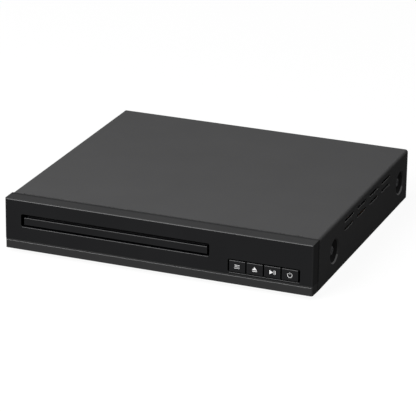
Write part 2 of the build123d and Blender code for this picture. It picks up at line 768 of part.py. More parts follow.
def motor_pulley():
    """The small belt pulley on the loading motor's shaft."""
    return Pos(loader_x + motor_x, train_y, 0) * grooved_wheel(motor_pulley_radius, 1.0)


def drive_belt():
    """A square rubber belt round both pulleys."""
    z = (pulley_low + pulley_top) / 2
    reach = pulley_x - motor_x
    big, small = pulley_radius + slack, motor_pulley_radius + slack
    lean = math.asin((big - small) / reach)
    loops = []
    for grow in (belt_size, 0):
        a, b = small + grow, big + grow
        s, c = math.sin(lean), math.cos(lean)
        top = Line((-a * s, a * c), (reach - b * s, b * c))
        right = ThreePointArc((reach - b * s, b * c), (reach + b, 0), (reach - b * s, -b * c))
        bottom = Line((reach - b * s, -b * c), (-a * s, -a * c))
        left = ThreePointArc((-a * s, -a * c), (-a, 0), (-a * s, a * c))
        loops.append(make_face(top + right + bottom + left))
    ring = extrude(Plane.XY.offset(z - belt_size / 2) * (loops[0] - loops[1]), belt_size)
    return Pos(loader_x + motor_x, train_y, 0) * ring


def loading_motor():
    """A flat can motor hung through the deck."""
    x, y = loader_x + motor_x, train_y
    flange = motor_radius + 1.6
    can = turned([(0, 4.8), (motor_radius - 1, 4.8), (motor_radius, 5.6), (motor_radius, deck_top),
                  (flange, deck_top), (flange, deck_top + 0.8), (motor_radius - 0.6, 14.6),
                  (3.0, 15.2), (3.0, 15.7), (1.0 - running, 15.7), (1.0 - running, pulley_top + 0.5),
                  (0, pulley_top + 0.5)])
    return Pos(x, y, 0) * can


def chassis_screws():
    """The fourteen equal screws that hold the loader, its clamp bridge and both boards."""
    seats = [(x, y, frame_base + 2) for x, y in loader_pillars()]
    seats += [(loader_x + side * bridge_screw_x, disc_y, frame_top + bridge_sheet) for side in (-1, 1)]
    seats += [(x, y, jack_level) for x, y in board_pillars()]
    return [Pos(*seat) * screw(4.6, 1.2, 2.6, 1.4) for seat in seats]


# ---- tray
def tray():
    """The drawer with a seat for each size of disc, the pickup's slot and the rack under its right side."""
    x = loader_x
    wide = tray_half_width
    front = door_thickness + 0.15
    body = rounded_plate(x - wide, x + wide, front, tray_back, tray_low, tray_top, 2.0)
    under = tray_top - tray_skin
    body -= block(x - wide + 1.6, x + wide - 1.6, front + 1.6, tray_back - 1.6, tray_low - 1, under)
    dish_low = recess_floor - floor_thickness
    body -= block(x - wide + 3, x + wide - 3, tray_back - 3, tray_back + 1, tray_low - 1, dish_low)
    body -= block(x - wide - 1, x + wide + 1, front - 1, front + 1.8, tray_low - 1, door_low + 0.3)
    step_low = dish_low - small_recess_step
    body += post(x, disc_y, dish_low, tray_top, recess_radius + 1.5)
    body += post(x, disc_y, step_low, tray_top, small_recess_radius + 1.2)
    body -= block(x - wide - 5, x + wide + 5, front - 3, front, tray_low - 1, tray_top + 1)
    lead = tray_top - recess_floor
    body -= turned([(0, recess_floor), (recess_radius, recess_floor), (recess_radius + lead * 0.4, tray_top),
                    (recess_radius + lead * 0.4, tray_top + 1), (0, tray_top + 1)], x, disc_y)
    small_floor, small_rim = recess_floor - small_recess_step, recess_floor + 0.1
    body -= turned([(0, small_floor), (small_recess_radius, small_floor),
                    (small_recess_radius + 0.5, small_rim), (0, small_rim)], x, disc_y)
    body -= post(x, disc_y, step_low - 1, tray_top + 1, hub_hole_radius)
    half_slot = sled_slot_width / 2
    body -= rounded_plate(x - half_slot, x + half_slot, disc_y + 2, sled_slot_end,
                          step_low - 1, tray_top + 1, 3.0)
    for side in (-1, 1):
        angle = math.radians(40)
        dip_x = x + side * recess_radius * math.sin(angle)
        dip_y = disc_y - recess_radius * math.cos(angle)
        body -= turned([(0, recess_floor), (6.5, recess_floor), (7.5, tray_top + 0.1), (0, tray_top + 0.1)],
                       dip_x, dip_y)
    gap = train_y + math.pi * drive_module / 2 * (1 if drive_pinion_teeth % 2 else 0)
    bar = rack(rack_pitch_x, drive_module, front + 14, tray_back - 0.5, gap, -1, 3.2, rack_low, rack_high)
    body += Pos(x, 0, 0) * bar
    body += block(x + rack_pitch_x + 1.5, x + wide - 0.5, front + 14, tray_back - 0.5, rack_low, under + 0.2)
    for y in (front + 30, front + 95):
        body += block(x - wide + 0.5, x - recess_radius - 0.5, y, y + 1.4, tray_low + 0.6, under + 0.2)
    return body


def tray_door():
    """The door strip on the tray's front."""
    x = loader_x
    door = block(x - door_width / 2, x + door_width / 2, 0.15, door_thickness + 0.15, door_low, door_top)
    door = fillet(door.edges().group_by(Axis.Y)[0], 0.45)
    return door


# ---- lift frame, drawn raised, then tipped about its hinge
def tipped(shape):
    """Lower the front of a raised piece by turning it about the hinge line."""
    turn = Pos(0, hinge_y, hinge_z) * Rot(tilt_degrees, 0, 0) * Pos(0, -hinge_y, -hinge_z)
    return turn * shape


def lift_frame():
    """The ring that tips about two trunnions and rests on the cam plate with two pins."""
    x = loader_x
    ring = rounded_plate(x + lift_left, x + lift_right, lift_front, lift_back, lift_low, lift_high, 3)
    ring -= rounded_plate(x + lift_left + 4.5, x + lift_right - 4.5, lift_front + 4.5, lift_back - 4.5,
                          lift_low - 1, lift_high + 1, 2)
    for px, py in damper_places():
        pad = post(px, py, lift_low, damper_low, damper_radius + 1)
        sx = 1 if px < x else -1
        arm = block(*sorted((px - sx * (damper_radius + 3), px)), py - 4, py + 4, lift_low, damper_low)
        ring -= post(px, py, damper_low, lift_high + 2, damper_radius + 1)
        ring += pad + arm
        ring -= post(px, py, lift_low - 1, damper_low + 1, 1.2 + running)
    ring += rod_x(hinge_y, hinge_z, x + lift_left - 4.9, x + lift_left + 3, trunnion_radius)
    ring += rod_x(hinge_y, hinge_z, x + lift_right - 3, x + lift_right + 4.9, trunnion_radius)
    for edge, outward in ((lift_left, -1), (lift_right, 1)):
        x0, x1 = sorted((x + edge - outward * 4, x + edge))
        ring += block(x0, x1, hinge_y - 6, hinge_y + 2.5, hinge_z - 2.5, hinge_z + 2.5)
    for px in cam_pin_x:
        ring += rod_y(x + px, hinge_z, cam_front - 0.2, lift_front + 1, cam_pin_radius)
    return tipped(ring)


def damper_places():
    """Centres of the four rubber mounts, just inside the ring's corners."""
    xs = (loader_x + lift_left + 4.5 + damper_in, loader_x + lift_right - 4.5 - damper_in)
    ys = (lift_front + 4.5 + damper_in, lift_back - 4.5 - damper_in)
    return [(px, py) for px in xs for py in ys]


def cam_slider():
    """The sliding plate whose two sloping slots raise the lift frame's pins."""
    x = loader_x
    reach = hinge_y - (cam_front + cam_sheet / 2)
    low_z = hinge_z - reach * math.sin(math.radians(tilt_degrees))
    left = x + cam_pin_x[0] - 6
    right = x + cam_pin_x[1] + cam_travel + 6
    plate = block(left, right, cam_front, cam_front + cam_sheet, cam_low, cam_top)
    plate = fillet(plate.edges().filter_by(Axis.Y), 1.5)
    rise = hinge_z - low_z
    slope = math.degrees(math.atan2(rise, cam_travel))
    half = cam_pin_radius + slack
    for pin in cam_pin_x:
        middle_x = x + pin + cam_travel / 2
        middle_z = (hinge_z + low_z) / 2
        slot = SlotCenterToCenter(math.hypot(rise, cam_travel) + 0.6, 2 * half)
        plate -= extrude(facing_front(cam_front - 1) * (Pos(middle_x, middle_z) * Rot(0, 0, slope) * slot), -6)
    return plate


# ---- traverse, drawn raised and level, then tipped
def traverse_plate():
    """The steel plate on the rubber mounts that carries the disc motor, the rods and the feed gears."""
    x = loader_x
    left, right = x + lift_left + 5.2, x + lift_right - 5.2
    plate = rounded_plate(left, right, lift_front + 5.2, lift_back - 5.2, plate_low, plate_top, 3)
    plate -= rounded_plate(x - 15.5, x + 17.5, sled_front - 1.5,
                           sled_front + sled_length + sled_travel + 1.0, plate_low - 1, plate_top + 1, 1.5)
    for px, py in damper_places():
        plate -= post(px, py, plate_low - 1, plate_top + 1, 2.9)
    for rx in rod_x_places():
        for y in rod_ends():
            plate += block(rx - 2.6, rx + 2.6, y - 1.5, y + 1.5, plate_top - 0.1, rod_z + 2.6)
            plate -= rod_y(rx, rod_z, y - 2, y + 2, rod_radius + 0.02)
    plate += post(x + feed_x, feed_y, plate_low, feed_top + 0.4, 1.0)
    plate -= post(x + feed_x, feed_motor_y, plate_low - 1, plate_top + 1, 2.0)
    plate -= rounded_plate(x - 6, x + 6, lift_front + 8, lift_front + 10.4, plate_low - 1, plate_top + 1, 1.1)
    return tipped(plate)


def rod_x_places():
    """The x of both guide rods."""
    return [loader_x + place for place in rod_x_offsets]


def rod_ends():
    """The y of the two saddles that hold each guide rod."""
    return (sled_front - 3.4, sled_front + sled_length + sled_travel + 2.4)


def dampers():
    """Rubber mounts with the plate's edge in their waist."""
    profile = [(1.3, damper_low), (damper_radius - 0.5, damper_low), (damper_radius, damper_low + 0.4),
               (damper_radius, plate_low), (2.8, plate_low), (2.8, plate_top), (damper_radius, plate_top),
               (damper_radius - 0.6, plate_top + 1.4), (1.3, plate_top + 1.4)]
    return [tipped(turned(profile, px, py)) for px, py in damper_places()]


def damper_screws():
    """The screws through the rubber mounts."""
    return [tipped(Pos(px, py, plate_top + 1.4) * screw(4.4, 1.2, 2.8, 1.0)) for px, py in damper_places()]


def guide_rods():
    """The two ground rods that the carriage runs on."""
    front, back = rod_ends()
    return [tipped(rod_y(rx, rod_z, front - 2, back + 2, rod_radius)) for rx in rod_x_places()]


def spindle_motor():
    """The fixed half of the disc motor: its little board, the wound core and the bearing."""
    x = loader_x
    board = rounded_plate(x - 15, x + 15, disc_y - 14, disc_y + 13.4, plate_top, plate_top + 1.0, 2)
    base = plate_top + 1.0
    core = turned([(1.4, base - 0.1), (4.0, base - 0.1), (4.0, base + 1.4), (10.4, base + 1.4),
                   (10.4, base + 4.2), (4.0, base + 4.2), (4.0, base + 5.4), (1.4, base + 5.4)])
    for i in range(9):
        core -= Rot(0, 0, i * 40) * block(5.4, 9.2, -0.7, 0.7, base, base + 6)
    return tipped(board - post(x, disc_y, plate_top - 1, base + 1, 1.4) + Pos(x, disc_y, 0) * core)


def turntable():
    """The turning half: the motor's cup, the shaft, the disc rest and the centring cone."""
    top, low = disc_level, plate_top + 1.7
    cup_top = top - 1.6
    r = rotor_radius
    shaft = 1.4 - running
    shape = turned([(0, low - 0.2), (shaft, low - 0.2), (shaft, cup_top - 1), (r - 1.2, cup_top - 1), (r - 1.2, low),
                    (r, low), (r, cup_top - 0.4), (turntable_radius - 2, cup_top - 0.2),
                    (turntable_radius, cup_top + 0.3), (turntable_radius, top), (9.6, top), (9.6, top - 0.4),
                    (7.4, top - 0.4), (7.3, top + 0.4), (5.8, top + 1.2), (3.2, top + 1.2), (2.6, top + 0.7),
                    (0, top + 0.7)])
    return tipped(Pos(loader_x, disc_y, 0) * shape)


def pickup_sled():
    """The die-cast carriage that runs on both rods."""
    x = loader_x
    front, back = sled_front, sled_front + sled_length
    body = rounded_plate(x - 14.5, x + 16.5, front, back, 14.6, 22.6, 1.5)
    body += block(x - 23.6, x - 14, front, back, rod_z - 2.3, rod_z + 2.3)
    body += block(x + 16, x + 25.2, front + 4, back - 6, rod_z - 2.3, rod_z + 2.3)
    for rx in rod_x_places():
        body -= rod_y(rx, rod_z, front - 5, back + 5, rod_radius + running)
    body -= post(x, lens_y, 20.6, 24, 7.4)
    body -= rounded_plate(x - 12.8, x + 14.8, front + 1.6, back - 1.6, 13, 18.4, 1)
    return tipped(body)


def sled_rack():
    """The moulded rack beside the carriage's left arm, which the feed gear drives."""
    start, end = feed_y - sled_travel - 3.6, feed_y + 4.4
    gap = feed_y if feed_pinion_teeth % 2 == 0 else feed_y + math.pi * feed_rack_module / 2
    bar = rack(feed_rack_x, feed_rack_module, start, end, gap, -1, rack_back, feed_wheel_high + 0.5, feed_top)
    return tipped(Pos(loader_x, 0, 0) * bar)


def lens_holder():
    """The suspended lens carrier over the carriage, with its magnets either side."""
    x, y = loader_x, lens_y
    holder = rounded_plate(x - 8.6, x + 8.6, y - 6.2, y + 10.0, 22.6, 23.4, 1.2)
    holder += block(x - 5.2, x + 5.2, y - 5.0, y + 5.0, 22.0, 24.2)
    holder += block(x - 6.4, x + 6.4, y + 6.8, y + 8.8, 23.2, 24.4)
    holder -= post(x, y, 20, 25, 2.7)
    return tipped(holder)


def objective_lens():
    """The small lens with its domed face."""
    x, y = loader_x, lens_y
    bead = turned([(0, 22.9), (2.65, 22.9), (2.65, 24.1), (1.9, 24.6), (1.0, 24.85), (0, 24.9)], x, y)
    return tipped(bead)


def feed_gear():
    """The double gear between the feed motor and the carriage's rack."""
    bore = 1.0 + running
    wheel = gear(feed_wheel_teeth, feed_module, feed_low, feed_wheel_high, bore)
    pinion = gear(feed_pinion_teeth, feed_rack_module, feed_wheel_high - 0.1, feed_top, bore)
    return tipped(compound_gear(pinion, wheel, loader_x + feed_x, feed_y))


def feed_motor():
    """The small motor under the traverse plate."""
    x, y = loader_x + feed_x, feed_motor_y
    can = turned([(0, 10.6), (5.2, 10.6), (6.0, 11.4), (6.0, plate_low), (1.9, plate_low), (1.9, plate_top),
                  (0.7, plate_top), (0.7, feed_wheel_high), (0, feed_wheel_high)], x, y)
    return tipped(can)


def feed_motor_pinion():
    """The pinion pressed on the feed motor's shaft."""
    teeth = feed_motor_teeth
    phase = 90.0 if teeth % 2 else 90.0 + 180.0 / teeth
    wheel = gear(teeth, feed_module, feed_low, feed_wheel_high, 0.75, phase)
    return tipped(Pos(loader_x + feed_x, feed_motor_y, 0) * wheel)


# ---- clamp
def clamp_bridge():
    """The steel bridge across the loader that holds the clamp over the disc."""
    x, top = loader_x, frame_top + bridge_sheet
    bridge = rounded_plate(x - bridge_reach, x + bridge_reach, disc_y - 8, disc_y + 8, frame_top, top, 3)
    bridge += block(x - 52, x + 52, disc_y - 15, disc_y + 15, frame_top, top)
    bridge += post(x, disc_y, frame_top, top, 22)
    for y in (-15, 15 - bridge_sheet):
        bridge += block(x - 52, x + 52, disc_y + y, disc_y + y + bridge_sheet, frame_top, top + 2.6)
    bridge -= block(x - 17, x + 17, disc_y - 18, disc_y + 18, top, top + 4)
    bridge -= post(x, disc_y, frame_top - 1, top + 1, clamp_neck_radius + 0.4)
    for side in (-1, 1):
        bridge -= post(x + side * bridge_screw_x, disc_y, frame_top - 1, top + 1, 1.3)
        middle = x + side * 40
        bridge -= rounded_plate(middle - 8, middle + 8, disc_y - 5, disc_y + 5, frame_top - 1, top + 1, 2)
    return bridge


def clamper():
    """The lower half of the clamp: a pad ring with a hollow for the turntable's cone."""
    top = frame_top + bridge_sheet
    points = [(8.2, clamp_face), (clamp_radius, clamp_face), (clamp_radius, clamp_face + 1.4),
              (clamp_neck_radius, clamp_face + 1.4), (clamp_neck_radius, top + slack), (9.2, top + slack),
              (9.2, clamp_face + 2.2), (4.0, clamp_face + 2.2), (4.0, clamp_face + 1.6), (8.2, clamp_face + 1.6)]
    return turned(points, loader_x, disc_y)


def clamper_cap():
    """The disc above the bridge that keeps the clamp from dropping."""
    low = frame_top + bridge_sheet + slack
    points = [(0, low), (clamp_cap_radius, low), (clamp_cap_radius, low + 1.0), (10, low + 1.4),
              (8, low + 1.1), (0, low + 1.1)]
    return turned(points, loader_x, disc_y)


def clamp_magnet():
    """The ring magnet inside the clamp."""
    low, high = clamp_face + 2.2, frame_top + bridge_sheet + slack
    return turned([(2.5, low), (9.0, low), (9.0, high), (2.5, high)], loader_x, disc_y)


# ---- boards
def held_board(xs, ys):
    """A level board with a screw hole near each corner."""
    board = block(xs[0], xs[1], ys[0], ys[1], board_level, board_level + board_thickness)
    for x in (xs[0] + board_corner, xs[1] - board_corner):
        for y in (ys[0] + board_corner, ys[1] - board_corner):
            board -= post(x, y, board_level - 1, board_level + 3, 1.5)
    return board


def main_chips():
    """The packages on the main board: processor, two memories and the driver."""
    z = jack_level
    left, front = main_board_x[0], main_board_y[0]
    group = []
    for dx, dy, width, depth, tall in ((42, 12, 20, 15, 1.5), (70, 10.5, 11, 10, 1.2),
                                       (86, 10.5, 9, 9, 1.2), (118, 13, 13, 9, 2.2)):
        x, y, half, deep = left + dx, front + dy, width / 2, depth / 2
        chip = block(x - half, x + half, y - deep, y + deep, z + 0.1, z + 0.1 + tall)
        chip = chamfer(chip.edges().group_by(Axis.Z)[-1], 0.3)
        legs = block(x - half - 1.2, x + half + 1.2, y - deep + 1, y + deep - 1, z, z + 0.35)
        group.append(chip + legs)
    return group


def main_capacitors():
    """The small capacitors of the main board, as (from its right end, from its front edge, radius, height)."""
    right, front = main_board_x[1], main_board_y[0]
    places = [(10, 12, 3.0, 8.0), (10, 21, 3.0, 8.0), (40, 25, 2.5, 6.5), (28, 25, 2.5, 6.5), (20, 5, 2.5, 6.5),
              (88, 12, 2.5, 6.5)]
    return [can_capacitor(right - x, front + y, jack_level, r, tall) for x, y, r, tall in places]


def can_capacitor(x, y, z, radius, tall):
    """An electrolytic capacitor with its rolled edge and the grooved sleeve."""
    points = [(0, z), (radius, z), (radius, z + 0.8), (radius - 0.35, z + 1.4), (radius, z + 2.0),
              (radius, z + tall - 0.4), (radius - 0.4, z + tall), (radius * 0.7, z + tall),
              (radius * 0.7, z + tall - 0.25), (0, z + tall - 0.25)]
    return turned(points, x, y)


def board_plugs():
    """White pin headers: one on the key board, three on the main board, two on the power board."""
    z = jack_level
    left, front = main_board_x[0], main_board_y[0]
    group = [key_board_plug()]
    for x, y, width in ((left + 18, front + 5, 14), (left + 100, front + 4, 12), (left + 82, front + 21, 12),
                        (power_board_x[0] + 13.5, power_board_y[1] - 6, 10),
                        (power_board_x[0] + 40, power_board_y[0] + 6, 10)):
        shell = block(x - width / 2, x + width / 2, y - 2.8, y + 2.8, z, z + 6.0)
        shell -= block(x - width / 2 + 0.8, x + width / 2 - 0.8, y - 2.0, y + 2.0, z + 1.2, z + 7)
        group.append(shell)
    return group


def jack_housings():
    """The moulded block that carries six round sockets, and the small one that carries the seventh."""
    return [six_jack_block(), single_jack_block()]


def six_jack_block():
    """The housing of the six round sockets."""
    places = jack_places()[:-1]
    left = jack_first_x - 6.4
    right = jack_first_x + (jack_columns - 1) * jack_pitch_x + 6.4
    top = places[1][1] + 6.2
    body = block(left, right, main_board_y[1] - 12.0, rear_inner - 0.1, jack_level, top)
    for x, z in places:
        body -= rod_y(x, z, rear_inner - 5, rear_inner + 1, jack_radius + 0.05)
    return body


def single_jack_block():
    """The housing of the seventh round socket."""
    x, z = jack_places()[-1]
    body = block(x - 5.6, x + 5.6, main_board_y[1] - 10.0, rear_inner - 0.1, jack_level, z + 5.8)
    return body - rod_y(x, z, rear_inner - 5, rear_inner + 1, jack_radius + 0.05)


def jack_sleeves():
    """The plated barrels that a round plug pushes on to."""
    group = []
    for x, z in jack_places():
        barrel = rod_y(x, z, rear_inner - 4.9, overall_depth, jack_radius)
        barrel = chamfer(barrel.edges().group_by(Axis.Y)[-1], 0.4)
        group.append(barrel - rod_y(x, z, rear_inner - 3.0, overall_depth + 1, 1.7))
    return group


def video_socket():
    """The flat socket with its tongue."""
    x, z = video_socket_x, jack_level
    back = rear_outer + 0.6
    shell = rounded_front(x, z + 3.1, 15.4, 5.8, 0.7, main_board_y[1] - 9, back)
    mouth = rounded_front(x, z + 3.1, 14.2, 4.6, 0.5, main_board_y[1] - 2, back + 1)
    tongue = block(x - 5.6, x + 5.6, main_board_y[1] - 3, back - 1.6, z + 2.6, z + 3.5)
    return shell - mouth + tongue


def mains_inlet():
    """The two-pin inlet: a flanged figure-of-eight cavity with its pins."""
    x, z = inlet_x, inlet_z
    front = rear_inner - 15
    body = rounded_front(x, z, 22.4, 12.4, 1.8, front, rear_outer + 0.1)
    body += rounded_front(x, z, 26.6, 15.6, 2.2, rear_outer, rear_outer + 2.0)
    body += block(x - 9, x + 9, front, front + 6, jack_level, z)
    cavity = rounded_front(x, z, 19.0, 9.4, 4.6, front + 3, rear_outer + 3)
    body -= cavity
    for side in (-1, 1):
        body += rod_y(x + side * 4.3, z, front + 2, rear_outer - 1.5, 1.2)
    return body


def transformer():
    """The ferrite core, and the bobbin with its winding inside it."""
    x, y, z = power_board_x[0] + 26, power_board_y[0] + 48, jack_level
    core = block(x - 11, x + 11, y - 5, y + 5, z + 3, z + 20)
    bobbin = block(x - 8, x + 8, y - 10, y + 10, z, z + 3.2)
    bobbin += block(x - 7.4, x + 7.4, y - 9, y + 9, z + 17.0, z + 18.4)
    winding = Pos(x, y, z + 10) * extrude(RectangleRounded(14, 17, 4), 7.2, both=True)
    coil = bobbin + winding
    return [core - coil, coil]


def power_capacitors():
    """The capacitors of the power board, as (from its left edge, from its front edge, radius, height)."""
    left, front = power_board_x[0], power_board_y[0]
    places = [(10, 76, 8.0, 22.0), (10, 22, 5.0, 16.0), (22, 18, 5.0, 16.0), (34, 18, 4.0, 12.0)]
    return [can_capacitor(left + x, front + y, jack_level, r, tall) for x, y, r, tall in places]


def mains_choke():
    """Two windings on a ring core, standing on the power board."""
    x, y, z = power_board_x[0] + 40, power_board_y[0] + 82, jack_level
    ring = turned([(3.4, z + 1.5), (7.6, z + 1.5), (7.6, z + 8.5), (3.4, z + 8.5)], x, y)
    ring += turned([(2.6, z + 0.8), (8.6, z + 0.8), (8.6, z + 9.2), (2.6, z + 9.2)], x, y) - block(
        x - 2.2, x + 2.2, y - 10, y + 10, z, z + 12)
    return ring + rounded_plate(x - 9, x + 9, y - 9, y + 9, z, z + 1.6, 2)


def heat_sink():
    """A bent aluminium plate with four fins."""
    x, y, z = power_board_x[0] + 44, power_board_y[0] + 50, jack_level
    half, tall, sheet, fin_count = 12.0, 22.0, 1.8, 4
    fins = block(x - 1.0, x + 1.0, y - half, y + half, z, z + tall)
    for i in range(fin_count):
        fy = y - half + i * (2 * half - sheet) / (fin_count - 1)
        fins += block(x, x + 7, fy, fy + sheet, z + 4, z + tall)
    return fins


def fuse():
    """A glass fuse in two clips."""
    x, y, z = power_board_x[0] + 22, power_board_y[1] - 16, jack_level
    glass = rod_x(y, z + 4.2, x - 9.6, x + 9.6, 2.4)
    clips = block(x - 10, x - 5.5, y - 3.2, y + 3.2, z, z + 5.4)
    clips += block(x + 5.5, x + 10, y - 3.2, y + 3.2, z, z + 5.4)
    clips -= block(x - 11, x + 11, y - 2.5, y + 2.5, z + 4.2, z + 8)
    return [glass, clips - glass]


def flat_cables():
    """Ribbons that lie on the pan: from the key board to the main board, and the loader's."""
    z, right, end = pan_top, power_board_x[0] - 0.2, main_board_y[0] + 10
    run = rounded_plate(right - 2.5, right, key_board_y + 2.9, end, z, z + 0.7, 0.4)
    across = block(main_board_x[1] - 2, right - 0.8, end - 1, end + 2, z, z + 0.7)
    second = block(loader_x - 8, loader_x + 8, end - 19.8, end - 2, z, z + 0.5)
    return [run + across, second]


# ---- every piece under its own name
pieces = {
    "top_cover": top_cover,
    "front_panel": front_panel,
    "base_pan": base_pan,
    "rear_panel": rear_panel,
    "feet": feet,
    "cover_side_screws": cover_side_screws,
    "cover_rear_screws": cover_rear_screws,
    "rear_panel_screws": rear_panel_screws,
    "key_holder": key_holder,
    "key_board": key_board,
    "panel_screws": panel_screws,
    "key_switches": key_switches,
    "remote_receiver": remote_receiver,
    "loader_frame": loader_frame,
    "loading_motor": loading_motor,
    "drive_belt": drive_belt,
    "chassis_screws": chassis_screws,
    "clamp_bridge": clamp_bridge,
    "tray": tray,
    "tray_door": tray_door,
    "drive_gear": drive_gear,
    "pulley_gear": pulley_gear,
    "motor_pulley": motor_pulley,
    "clamper": clamper,
    "clamper_cap": clamper_cap,
    "clamp_magnet": clamp_magnet,
    "cam_slider": cam_slider,
    "lift_frame": lift_frame,
    "traverse_plate": traverse_plate,
    "dampers": dampers,
    "damper_screws": damper_screws,
    "guide_rods": guide_rods,
    "spindle_motor": spindle_motor,
    "turntable": turntable,
    "pickup_sled": pickup_sled,
    "sled_rack": sled_rack,
    "lens_holder": lens_holder,
    "objective_lens": objective_lens,
    "feed_gear": feed_gear,
    "feed_motor": feed_motor,
    "feed_motor_pinion": feed_motor_pinion,
    "main_board": lambda: held_board(main_board_x, main_board_y),
    "main_chips": main_chips,
    "main_capacitors": main_capacitors,
    "board_plugs": board_plugs,
    "jack_housings": jack_housings,
    "jack_sleeves": jack_sleeves,
    "video_socket": video_socket,
    "mains_inlet": mains_inlet,
    "power_board": lambda: held_board(power_board_x, power_board_y),
    "transformer": transformer,
    "power_capacitors": power_capacitors,
    "mains_choke": mains_choke,
    "heat_sink": heat_sink,
    "fuse": fuse,
    "flat_cables": flat_cables,
}


def as_one(made):
    """A piece, or a group of separate solids, as one shape."""
    if isinstance(made, (list, tuple)):
        return Compound(children=[solid for shape in made for solid in shape.solids()])
    return made


os.makedirs("parts", exist_ok=True)
move_back = Pos(0, -overall_depth / 2, 0)
for number, x in enumerate(key_xs, start=1):
    export_step(move_back * key(x), "parts/key_%d.step" % number)
for name, make in pieces.items():
    export_step(move_back * as_one(make()), "parts/%s.step" % name)
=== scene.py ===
import bpy
import bmesh
import json
import math
from mathutils import Matrix, Vector


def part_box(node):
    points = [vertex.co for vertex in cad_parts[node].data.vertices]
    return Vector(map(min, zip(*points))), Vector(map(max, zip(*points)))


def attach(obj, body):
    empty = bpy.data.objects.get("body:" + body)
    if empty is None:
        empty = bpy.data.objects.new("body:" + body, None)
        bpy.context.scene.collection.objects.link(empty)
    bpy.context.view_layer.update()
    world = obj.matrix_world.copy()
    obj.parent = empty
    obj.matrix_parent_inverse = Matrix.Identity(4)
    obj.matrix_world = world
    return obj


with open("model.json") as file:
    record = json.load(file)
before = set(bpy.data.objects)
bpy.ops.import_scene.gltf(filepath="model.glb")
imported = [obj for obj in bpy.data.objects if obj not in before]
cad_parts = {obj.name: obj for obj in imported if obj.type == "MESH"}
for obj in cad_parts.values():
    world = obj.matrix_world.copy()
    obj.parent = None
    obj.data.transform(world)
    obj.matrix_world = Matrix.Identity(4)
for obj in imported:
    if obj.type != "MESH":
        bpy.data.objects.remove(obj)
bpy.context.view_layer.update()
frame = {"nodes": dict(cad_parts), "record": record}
print("frame loaded,", len(frame["nodes"]), "nodes")

mm = 0.001


class Value:
    # a socket of a material that takes part in plain arithmetic
    def __init__(self, finish, socket):
        self.finish = finish
        self.socket = socket

    def __add__(self, other):
        return self.finish.maths("ADD", self, other)

    def __sub__(self, other):
        return self.finish.maths("SUBTRACT", self, other)

    def __rsub__(self, other):
        return self.finish.maths("SUBTRACT", other, self)

    def __mul__(self, other):
        return self.finish.maths("MULTIPLY", self, other)

    def __gt__(self, other):
        return self.finish.maths("GREATER_THAN", self, other)

    def __lt__(self, other):
        return self.finish.maths("LESS_THAN", self, other)

    __radd__ = __add__
    __rmul__ = __mul__


class Finish:
    # a material in the making
    def __init__(self, name, uniform):
        self.material = bpy.data.materials.new(name)
        self.material.use_nodes = True
        self.tree = self.material.node_tree
        self.shader = self.tree.nodes["Principled BSDF"]
        for socket, value in uniform.items():
            self.shader.inputs[socket].default_value = value

    def node(self, kind, settings=None, sockets=None, output=0):
        made = self.tree.nodes.new("ShaderNode" + kind)
        for name, value in (settings or {}).items():
            if name == "stops":
                self.setStops(made.color_ramp, value)
            else:
                setattr(made, name, value)
        for name, value in (sockets or {}).items():
            self.feed(made.inputs[name], value)
        return Value(self, made.outputs[output])

    def maths(self, operation, first, second):
        return self.node("Math", {"operation": operation}, {0: first, 1: second})

    def feed(self, socket, value):
        if isinstance(value, Value):
            self.tree.links.new(value.socket, socket)
        else:
            socket.default_value = value

    def setStops(self, ramp, stops):
        while len(ramp.elements) < len(stops):
            ramp.elements.new(0.5)
        for element, (place, shade) in zip(ramp.elements, stops):
            element.position = place
            element.color = (shade, shade, shade, 1)

    def place(self, stretch=(1, 1, 1)):
        seat = self.node("TexCoord", output="Object")
        return self.node("Mapping", {}, {"Vector": seat, "Scale": stretch})

    def noise(self, size, detail=2.0, stretch=(1, 1, 1)):
        # size is that of one blotch, in metres
        seat = self.place(stretch)
        return self.node("TexNoise", {}, {"Vector": seat, "Scale": 1 / size, "Detail": detail})

    def cells(self, size, output="Distance", stretch=(1, 1, 1)):
        seat = self.place(stretch)
        return self.node("TexVoronoi", {}, {"Vector": seat, "Scale": 1 / size}, output)

    def blend(self, share, first, second):
        # two colours, or one colour and a link
        return self.node("Mix", {"data_type": "RGBA"}, {0: share, 6: first, 7: second}, 2)

    def shades(self, share, colour, low, high):
        dark = [c * low for c in colour] + [1]
        light = [min(1, c * high) for c in colour] + [1]
        return self.blend(share, dark, light)

    def facing(self, axis):
        # how far the surface turns towards one of the object's own axes, -1 to 1
        normal = self.node("TexCoord", output="Normal")
        return self.node("SeparateXYZ", {}, {0: normal}, "XYZ".index(axis))

    def height(self, axis):
        seat = self.node("TexCoord", output="Object")
        return self.node("SeparateXYZ", {}, {0: seat}, "XYZ".index(axis))

    def paintedSheen(self, weight, low, rim=0.0):
        # a clear top layer weighted by where the surface faces: painted sheen where it faces up or ahead,
        # painted highlight on the rounded edges between, and a thin layer elsewhere as painted shade
        up, ahead = self.facing("Z"), self.maths("MAXIMUM", self.facing("Y") * -1, 0.0)
        most = self.maths("MAXIMUM", up, ahead)
        paintedRimHighlight = ahead * (1 - ahead) * (1 - self.maths("MAXIMUM", self.facing("X"), 0.0)) * rim
        return most * weight + (self.maths("MINIMUM", up, 0.0) + 1) * (paintedRimHighlight + low)

    def relief(self, height, strength, depth):
        bump = self.node("Bump", {}, {"Strength": strength, "Distance": depth, "Height": height})
        self.feed(self.shader.inputs["Normal"], bump)

    def surface(self, colour=None, roughness=None, metallic=None, coat=None):
        given = {"Base Color": colour, "Roughness": roughness, "Metallic": metallic, "Coat Weight": coat}
        for name, value in given.items():
            if value is not None:
                self.feed(self.shader.inputs[name], value)
        return self.material


# where the walls of the cover's dimples and the lips of its side openings lie, for the painted shade on the
# walls and the painted highlight on the lips
coverSides = {
    "walls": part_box("top_cover")[1].x - 0.9 * mm,       # from the middle of the player
    "below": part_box("top_cover")[1].z - 4.0 * mm,       # above the floor
    "paintedShadeColour": (0.004, 0.004, 0.004, 1),
    "paintedHighlightColour": (0.30, 0.30, 0.30, 1),
}
